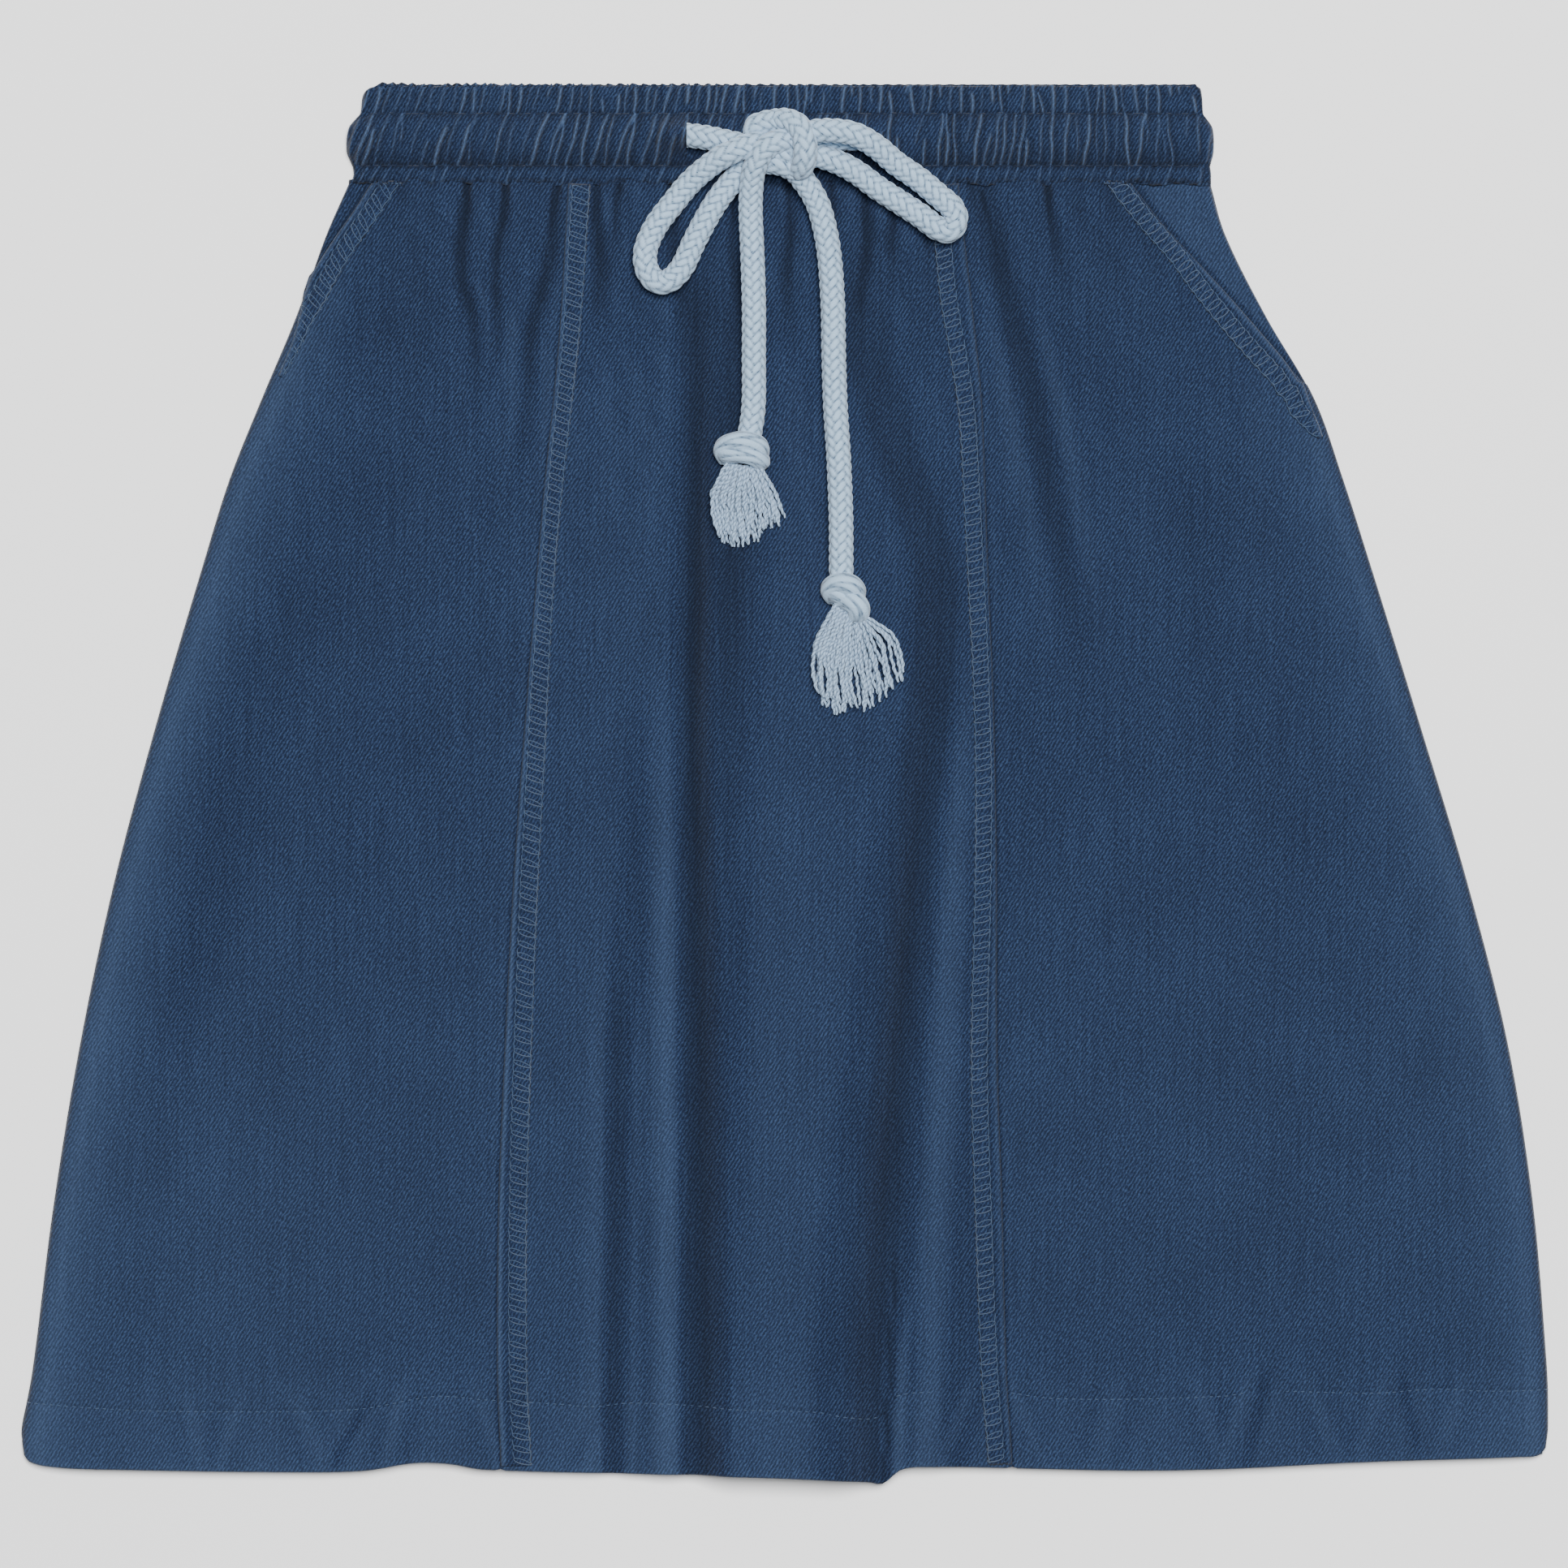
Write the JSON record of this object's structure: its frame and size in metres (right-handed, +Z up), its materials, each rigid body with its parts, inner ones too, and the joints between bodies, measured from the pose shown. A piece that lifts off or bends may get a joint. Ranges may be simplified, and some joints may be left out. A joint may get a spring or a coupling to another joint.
{
  "type": "denim skirt",
  "caption": "Child's flared denim skirt laid flat, with a gathered elastic waist, slanted pockets, outside overlocked seams and a tied cotton drawstring with tassels.",
  "frame": {"origin": "centre of the skirt's bounding box, on the surface that it lies on", "axes": "+X to the right of the skirt's front as seen from above, +Y towards the waistband, +Z up off the surface"},
  "size_m": [0.471, 0.4299, 0.0243],
  "materials": {
    "denim": "mid-blue light denim twill, washed, matt",
    "denim_wrong_side": "the same denim twill on the back of the skirt",
    "overlocked_edge": "denim edge covered by blue overlock thread",
    "sewing_thread": "spun polyester thread, dull blue",
    "braided_cord": "round braided cotton cord, pale blue, slightly hairy",
    "tassel_yarn": "combed-out cotton yarn, pale blue, matt"
  },
  "bodies": {
    "root": {"back_panel": "denim_wrong_side", "waistband_back": "denim", "waistband_front": "denim", "front_centre": "denim", "front_side_left": "denim", "front_side_right": "denim", "seam_allowance_left": "overlocked_edge", "seam_allowance_right": "overlocked_edge", "hip_piece_left": "denim", "hip_piece_right": "denim", "pocket_edge_left": "overlocked_edge", "pocket_edge_right": "overlocked_edge", "bow_knot": "braided_cord", "cord_loop_left": "braided_cord", "cord_loop_right": "braided_cord", "cord_lead_left": "braided_cord", "cord_lead_right": "braided_cord", "cord_tail_left": "braided_cord", "cord_tail_right": "braided_cord", "end_knot_left": "braided_cord", "end_knot_right": "braided_cord", "tassel_left": "tassel_yarn", "tassel_right": "tassel_yarn"}
  },
  "joints": []
}
